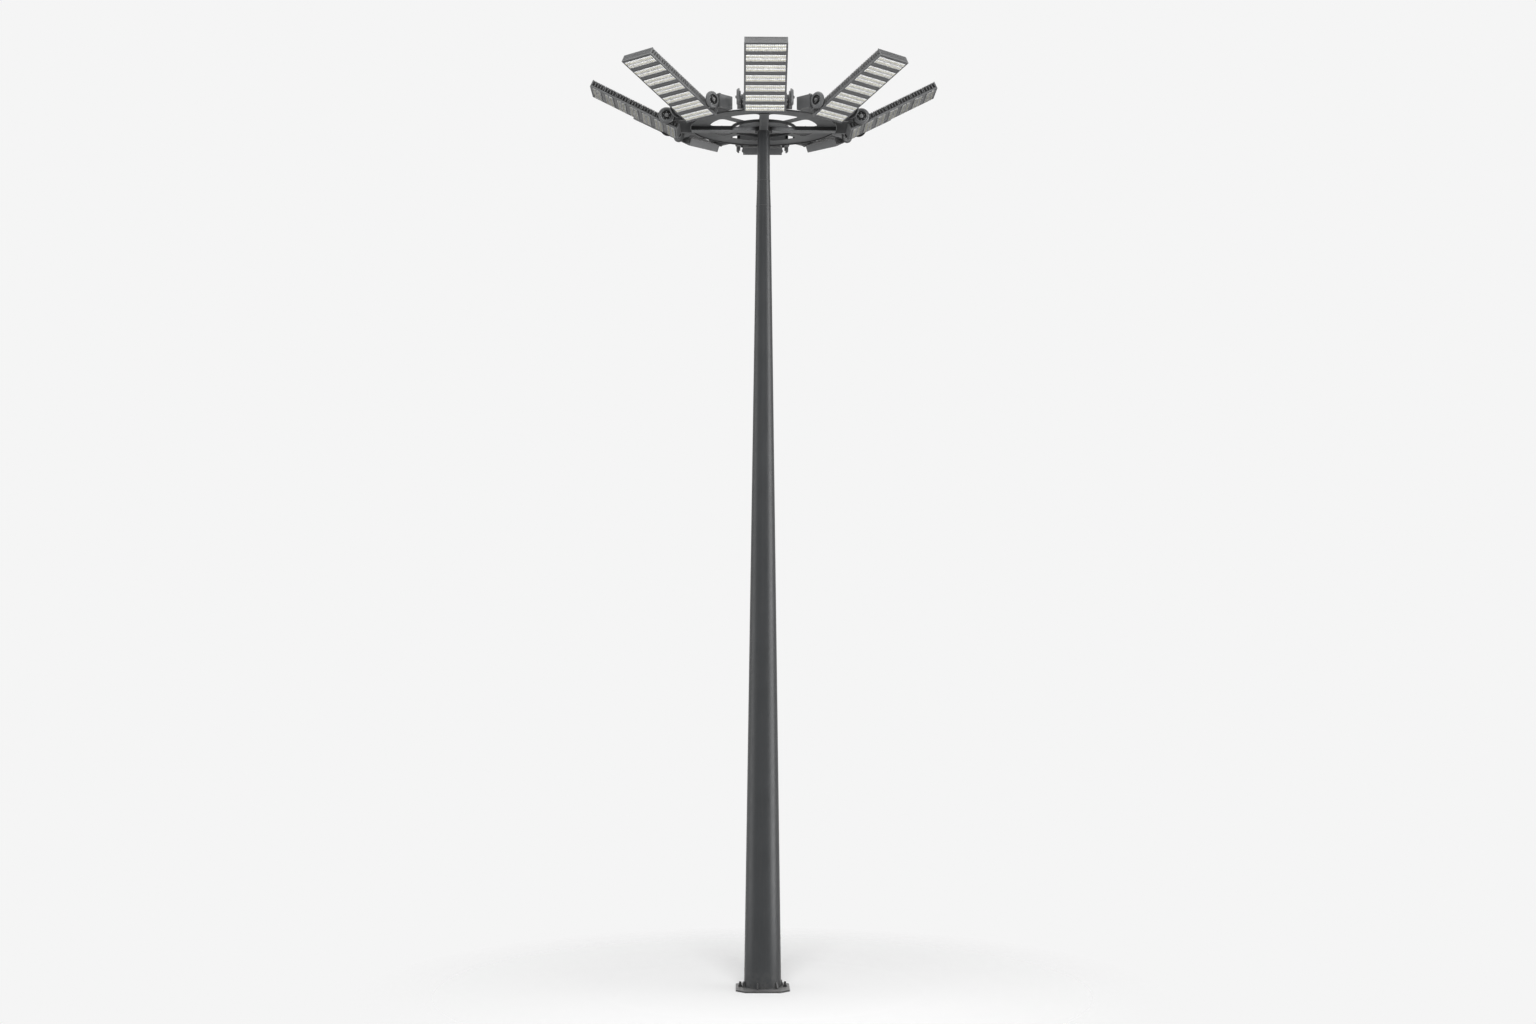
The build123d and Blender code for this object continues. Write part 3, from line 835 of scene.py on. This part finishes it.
def pivot_hardware(shape, pivot):
    """Rim cladding, pivot nut with its washer and pin end, scale marks and bolts of one disc."""
    washer, nut = 0.004, PIVOT_NUT[1]
    # The rim skin takes the rim paint, so that the disc's near black paint, painted shade, shows only
    # in the recess.
    shape.hoop(pivot, rim_section(), 56, 4)
    shape.solid(pivot, [(0.034, 0), (0.034, 0.003), (0.032, washer)], 24, 1)
    shape.bolt(pivot @ at(0, 0, washer), PIVOT_NUT, False, 1)
    shape.solid(pivot @ at(0, 0, washer + nut), [(0.012, 0), (0.012, 0.004), (0.010, 0.006)], 16, 1)
    for mark in range(-MARKS_EACH_WAY, MARKS_EACH_WAY + 1):
        turn = Matrix.Rotation(mark * MARK_STEP, 4, "Z")
        length = 0.012 if mark % 3 == 0 else 0.008
        spot = turn @ at(DISC_RECESS_RADIUS - 0.004, 0, 0.0017)
        shape.block(pivot @ spot, (length, 0.0018, 0.001), 0.0003, 2)
    for number in range(DISC_BOLT_COUNT):
        turn = Matrix.Rotation((number + 0.5) * 2 * math.pi / DISC_BOLT_COUNT, 4, "Z")
        shape.bolt(pivot @ turn @ at(DISC_BOLT_CIRCLE, 0, -DISC_RECESS), DISC_BOLT, True, 1)


def cleat(shape, home, place):
    """An angle with its bolts, which holds a crossbar to the deck on the mast's side."""
    inner = YOKE_INNER_RADIUS
    sheet, leg = CLEAT_SHEET, CLEAT_LEG
    upright = home @ at(inner - sheet / 2, DECK_TOP + leg / 2, place)
    level = home @ at(inner - leg / 2, DECK_TOP + sheet / 2, place)
    shape.block(upright, (sheet, leg, CLEAT_WIDTH), 0.0015)
    shape.block(level, (leg, sheet, CLEAT_WIDTH), 0.0015)
    for shift in (-0.022, 0.022):
        high_spot = facing(inner - sheet, DECK_TOP + 0.024, place + shift, "-x")
        low_spot = facing(inner - 0.024, DECK_TOP + sheet, place + shift, "+y")
        shape.bolt(home @ high_spot, CLEAT_BOLT, True, 1)
        shape.bolt(home @ low_spot, CLEAT_BOLT, True, 1)


def yoke_hardware():
    """Hardware of the pivots, flange seams and crossbar cleats on every yoke."""
    shape = Shape()
    seam_radius = FLANGE_RADIUS + FLANGE_THICKNESS / 2
    seam_size = (0.003, YOKE_TOP - DECK_TOP + 0.023, YOKE_BOX_WIDTH + 0.003)
    for number in range(LAMP_COUNT):
        home = yoke_matrix(number * LAMP_STEP)
        for side in (-1, 1):
            axis = "+z" if side > 0 else "-z"
            pivot_hardware(shape, home @ facing(PIVOT_RADIUS, PIVOT_LEVEL, side * DISC_FACE, axis))
            middle = side * (YOKE_HALF_GAP + YOKE_BOX_WIDTH / 2)
            seam = home @ at(seam_radius, (DECK_TOP + YOKE_TOP) / 2, middle)
            shape.block(seam, seam_size, FINE_BEVEL, 3)
        for place in CLEAT_PLACES:
            cleat(shape, home, place)
    return shape


# ---- Ring head ---------------------------------------------------------------------------
def deck_hardware():
    """Bolt heads on top of the deck and the hub plate, in two rows along every arm."""
    shape = Shape()
    for number in range(ARM_COUNT):
        home = head_matrix(number * 2 * math.pi / ARM_COUNT)
        for radius in DECK_BOLT_RADII:
            for side in (-1, 1):
                shape.bolt(home @ facing(radius, side * BOLT_ASIDE, DECK_TOP, "+z"), DECK_BOLT)
        for radius in HUB_BOLT_RADII:
            for side in (-1, 1):
                shape.bolt(home @ facing(radius, side * BOLT_ASIDE, HUB_TOP, "+z"), HUB_BOLT)
    return shape


def hub_cap():
    """Domed rain cap over the mast's top, with its rim screws."""
    shape = Shape()
    rim = [(0.150, 0.0), (0.150, 0.006), (0.128, 0.010)]
    rise = rim + [(0.118, 0.030), (0.090, 0.045), (0.045, 0.052), (0, 0.054)]
    shape.lathe(at(0, 0, HUB_TOP), rise, 48)
    seat = HUB_TOP + 0.0068
    for number in range(CAP_SCREW_COUNT):
        turn = Matrix.Rotation((number + 0.5) * 2 * math.pi / CAP_SCREW_COUNT, 4, "Z")
        shape.screw(turn @ at(CAP_SCREW_CIRCLE, 0, seat), CAP_SCREW, 1)
    return shape


def arm_covers():
    """Bottom covers that close the arms from below, with folded edges and screws."""
    shape = Shape()
    start, end = COLLAR_RADIUS + 0.008, ARM_END - 0.004
    sheet, lip, margin = 0.003, 0.014, 0.05
    length, middle = end - start, (start + end) / 2
    spacing = (length - 2 * margin) / (COVER_SCREW_COUNT - 1)
    for number in range(ARM_COUNT):
        home = head_matrix(number * 2 * math.pi / ARM_COUNT)
        floor = home @ at(middle, 0, ARM_BOTTOM - sheet / 2)
        shape.block(floor, (length, 2 * ARM_HALF_WIDTH + 0.006, sheet), FINE_BEVEL)
        for side in (-1, 1):
            y = side * (ARM_HALF_WIDTH + sheet / 2 + 0.0002)
            shape.block(home @ at(middle, y, ARM_BOTTOM + 0.006), (length, sheet, lip), FINE_BEVEL)
            for step in range(COVER_SCREW_COUNT):
                x = start + margin + step * spacing
                spot = facing(x, side * COVER_SCREW_ASIDE, ARM_BOTTOM - sheet, "-z")
                shape.screw(home @ spot, TRIM_SCREW, 1)
    return shape


# ---- Welds -------------------------------------------------------------------------------
def bead_path(shape, points, radius, closed=False):
    """A rippled weld bead along points."""
    rings = []
    count = len(points)
    for index, point in enumerate(points):
        before = points[(index - 1) % count] if closed or index > 0 else point
        after = points[(index + 1) % count] if closed or index < count - 1 else point
        direction = (after - before).normalized()
        turn = direction.to_track_quat("Z", "Y").to_matrix().to_4x4()
        swell = radius * (1 + 0.13 * math.sin(index * 2.1) + 0.06 * rng.uniform(-1, 1))
        ring = []
        for side in range(BEAD_SIDES):
            angle = 2 * math.pi * side / BEAD_SIDES
            offset = Vector((swell * math.cos(angle), swell * math.sin(angle), 0))
            ring.append(shape.bm.verts.new(point + turn @ offset))
        rings.append(ring)
    pairs = list(zip(rings, rings[1:])) + ([(rings[-1], rings[0])] if closed else [])
    for lower, upper in pairs:
        for side in range(BEAD_SIDES):
            following = (side + 1) % BEAD_SIDES
            shape.face([lower[side], lower[following], upper[following], upper[side]], smooth=True)
    if not closed:
        shape.face(list(reversed(rings[0])))
        shape.face(rings[-1])


def circle_points(radius, level, spacing):
    """Points round a level circle about the mast's axis."""
    count = max(24, int(2 * math.pi * radius / spacing))
    angles = [2 * math.pi * i / count for i in range(count)]
    return [Vector((radius * math.cos(angle), radius * math.sin(angle), level)) for angle in angles]


def line_points(start, end, spacing):
    """Points from one place to another."""
    count = max(2, int((end - start).length / spacing))
    return [start.lerp(end, i / count) for i in range(count + 1)]


def mast_radius(level):
    """Outer radius of the mast at a height."""
    foot, top = (MAST_FOOT_RADIUS, PLATE_TOP), (MAST_TOP_RADIUS, LENS_EDGE_LEVEL)
    stations = [foot, SHOULDER_BOTTOM, SHOULDER_TOP, top]
    for (lower, start), (upper, end) in zip(stations, stations[1:]):
        if level <= end:
            return lower + (upper - lower) * (level - start) / (end - start)
    return MAST_TOP_RADIUS


def ring_bead(shape, radius, level, bead):
    """A level bead round the mast."""
    size, spacing = bead
    bead_path(shape, circle_points(radius, level, spacing), size, True)


def straight_bead(shape, start, end, bead):
    """A bead from one place to another."""
    size, spacing = bead
    bead_path(shape, line_points(start, end, spacing), size)


def gusset_beads(shape, turn, side):
    """The beads along one side of a gusset's foot and back."""
    sideways = across(turn) * (side * GUSSET_THICKNESS / 2)
    foot = Vector((0, 0, PLATE_TOP + 0.001))
    start = radial(turn) * (MAST_FOOT_RADIUS + 0.006) + sideways + foot
    end = radial(turn) * (GUSSET_REACH - 0.004) + sideways + foot
    straight_bead(shape, start, end, GUSSET_BEAD)
    top = radial(turn) * mast_radius(GUSSET_HEIGHT + 0.02) + sideways
    root = radial(turn) * (mast_radius(PLATE_TOP) + 0.001) + sideways
    lower = root + Vector((0, 0, PLATE_TOP + 0.006))
    upper = top + Vector((0, 0, GUSSET_HEIGHT + PLATE_TOP - 0.002))
    straight_bead(shape, lower, upper, GUSSET_BEAD)


def long_seam(shape):
    """The tube's upright seam at the back, from the foot to the shoulder."""
    size, spacing = SEAM_BEAD
    count = int((SHOULDER_BOTTOM[1] - PLATE_TOP - 0.04) / spacing)
    levels = [PLATE_TOP + 0.02 + step * spacing for step in range(count)]
    bead_path(shape, [Vector((0, mast_radius(level) - 0.0005, level)) for level in levels], size)


def welds():
    """Beads at the mast's foot, gussets, shoulder and top, and the tube's long seam."""
    shape = Shape()
    ring_bead(shape, MAST_FOOT_RADIUS + 0.003, PLATE_TOP + 0.003, FOOT_BEAD)
    for number in range(GUSSET_COUNT):
        for side in (-1, 1):
            gusset_beads(shape, GUSSET_TURN + number * 2 * math.pi / GUSSET_COUNT, side)
    for radius, level in (SHOULDER_BOTTOM, SHOULDER_TOP):
        ring_bead(shape, radius + 0.0005, level, SHOULDER_BEAD)
    ring_bead(shape, MAST_TOP_RADIUS + 0.002, ARM_BOTTOM - 0.001, TOP_BEAD)
    long_seam(shape)
    return shape


# ---- Anchor bolts ------------------------------------------------------------------------
def bolt_threads():
    """Thread turns on the exposed end of each anchor bolt."""
    shape = Shape()
    turns = int((BOLT_TOP - 0.004 - NUT_TOP) / THREAD_PITCH)
    root, crest = STUD_RADIUS + 0.0002, STUD_RADIUS + 0.0016
    profile = []
    for step in range(turns):
        profile += [(root, step * THREAD_PITCH), (crest, (step + 0.5) * THREAD_PITCH)]
    profile.append((root, turns * THREAD_PITCH))
    for number in range(ANCHOR_COUNT):
        turn = number * 2 * math.pi / ANCHOR_COUNT
        x, y = BOLT_CIRCLE * math.cos(turn), BOLT_CIRCLE * math.sin(turn)
        shape.lathe(at(x, y, NUT_TOP), profile, 28)
    return shape


def dress_mast():
    """The pieces of the mast, its base and its fixed head."""
    yoke_paints = (YOKE_PAINT, ZINC_BOLT, OPTIC_CLEAR, SEAM_SEALANT, RIM_PAINT)
    yoke_hardware().place("yoke_hardware", "mast", "painted_steel", yoke_paints)
    arm_covers().place("arm_covers", "mast", "painted_steel", (COVER_LIT_PAINT, ZINC_BOLT))
    deck_hardware().place("deck_hardware", "mast", "bolt_steel", (DARK_BOLT,))
    hub_cap().place("hub_cap", "mast", "painted_steel", (HEAD_LIT_PAINT, ZINC_BOLT))
    welds().place("weld_beads", "mast", "painted_steel", (WELD_PAINT,))
    bolt_threads().place("anchor_threads", "mast", "bolt_steel", (DARK_BOLT,))


# ---- Floor, light and camera -------------------------------------------------------------
def make_floor():
    """Pale disc under the mast, which fades into the plain background."""
    material, tree, shader = new_material("floor_pale")
    shader.inputs["Base Color"].default_value = (FLOOR_TONE, FLOOR_TONE, FLOOR_TONE, 1)
    shader.inputs["Roughness"].default_value = 0.9
    gradient = tree.nodes.new("ShaderNodeTexGradient")
    gradient.gradient_type = "SPHERICAL"
    inverse = 1 / FLOOR_RADIUS
    tree.links.new(object_place(tree, (inverse, inverse, inverse)), gradient.inputs["Vector"])
    fade = ramp(tree, gradient.outputs["Fac"], [(0.0, grey(0.0)), (0.6, grey(1.0))])
    clear = tree.nodes.new("ShaderNodeBsdfTransparent")
    mix = tree.nodes.new("ShaderNodeMixShader")
    tree.links.new(fade, mix.inputs["Fac"])
    tree.links.new(clear.outputs["BSDF"], mix.inputs[1])
    tree.links.new(shader.outputs["BSDF"], mix.inputs[2])
    output = [node for node in tree.nodes if node.type == "OUTPUT_MATERIAL"][0]
    tree.links.new(mix.outputs["Shader"], output.inputs["Surface"])
    bm = bmesh.new()
    bmesh.ops.create_circle(bm, cap_ends=True, segments=96, radius=FLOOR_RADIUS)
    mesh = bpy.data.meshes.new("floor")
    bm.to_mesh(mesh)
    bm.free()
    floor = bpy.data.objects.new("floor", mesh)
    floor.data.materials.append(material)
    bpy.context.scene.collection.objects.link(floor)


def make_world(level):
    """Even pale light; rays from the camera and from gloss or glass see the plain background."""
    world = bpy.data.worlds.new("studio")
    bpy.context.scene.world = world
    world.use_nodes = True
    tree = world.node_tree
    tree.nodes.clear()
    output = tree.nodes.new("ShaderNodeOutputWorld")
    ambient = tree.nodes.new("ShaderNodeBackground")
    ambient.inputs["Color"].default_value = (1, 1, 1, 1)
    ambient.inputs["Strength"].default_value = level
    backdrop = tree.nodes.new("ShaderNodeBackground")
    backdrop.inputs["Color"].default_value = (BACKGROUND, BACKGROUND, BACKGROUND, 1)
    path = tree.nodes.new("ShaderNodeLightPath")
    seen = path.outputs["Is Camera Ray"]
    for kind in ("Is Glossy Ray", "Is Transmission Ray"):
        either = tree.nodes.new("ShaderNodeMath")
        either.operation = "MAXIMUM"
        tree.links.new(seen, either.inputs[0])
        tree.links.new(path.outputs[kind], either.inputs[1])
        seen = either.outputs["Value"]
    mix = tree.nodes.new("ShaderNodeMixShader")
    tree.links.new(seen, mix.inputs["Fac"])
    tree.links.new(ambient.outputs["Background"], mix.inputs[1])
    tree.links.new(backdrop.outputs["Background"], mix.inputs[2])
    tree.links.new(mix.outputs["Shader"], output.inputs["Surface"])


def make_light(name, azimuth, distance, height, size, level, target_height):
    """A soft box at an azimuth, 0 in front and 90 at the right.

    The level is how brightly it lights a surface at the mast's axis that faces it.
    """
    data = bpy.data.lights.new(name, "AREA")
    data.shape = "RECTANGLE"
    data.size = size[0]
    data.size_y = size[1]
    data.energy = level * (math.pi * distance) ** 2
    light = bpy.data.objects.new(name, data)
    turn = math.radians(azimuth)
    light.location = (math.sin(turn) * distance, -math.cos(turn) * distance, height)
    aim = Vector((0, 0, target_height)) - light.location
    light.rotation_euler = aim.to_track_quat("-Z", "Y").to_euler()
    light.visible_camera = False
    bpy.context.scene.collection.objects.link(light)
    return light


def make_sky(level, spread):
    """Soft light from straight above, for the floor and the top faces."""
    data = bpy.data.lights.new("sky_soft", "SUN")
    data.energy = level * math.pi
    data.angle = math.radians(spread)
    light = bpy.data.objects.new("sky_soft", data)
    light.location = (0, 0, SKY_HEIGHT)
    bpy.context.scene.collection.objects.link(light)


def make_lights():
    """The sky, the front soft box for plain shading, and two side strips for gloss alone."""
    make_sky(SKY_LEVEL, SKY_SPREAD)
    front = make_light(
        "front_soft", 0, FRONT_DISTANCE, FRONT_HEIGHT, FRONT_SIZE, FRONT_LEVEL, FRONT_AIM
    )
    front.visible_glossy = False
    for name, (azimuth, level) in STRIPS.items():
        strip = make_light(
            name, azimuth, STRIP_DISTANCE, STRIP_HEIGHT, STRIP_SIZE, level, STRIP_HEIGHT
        )
        strip.visible_diffuse = False


def make_camera():
    """From the front, 35 m away and a little to the left, below the middle of the mast."""
    data = bpy.data.cameras.new("camera")
    data.lens = LENS_MILLIMETRES
    data.sensor_width = SENSOR_WIDTH
    data.clip_end = CLIP_END
    camera = bpy.data.objects.new("camera", data)
    swing = math.radians(CAMERA_SWING)
    place = Vector((CAMERA_SIDE, -CAMERA_DISTANCE, CAMERA_HEIGHT))
    camera.location = Matrix.Rotation(-swing, 3, "Z") @ place
    camera.rotation_euler = (math.radians(90 + CAMERA_PITCH), math.radians(CAMERA_ROLL), -swing)
    bpy.context.scene.collection.objects.link(camera)
    bpy.context.scene.camera = camera


paint_nodes()
dress_lamps()
dress_mast()
make_floor()
make_world(AMBIENT_LEVEL)
make_lights()
make_camera()
bpy.context.scene.view_settings.view_transform = "Standard"
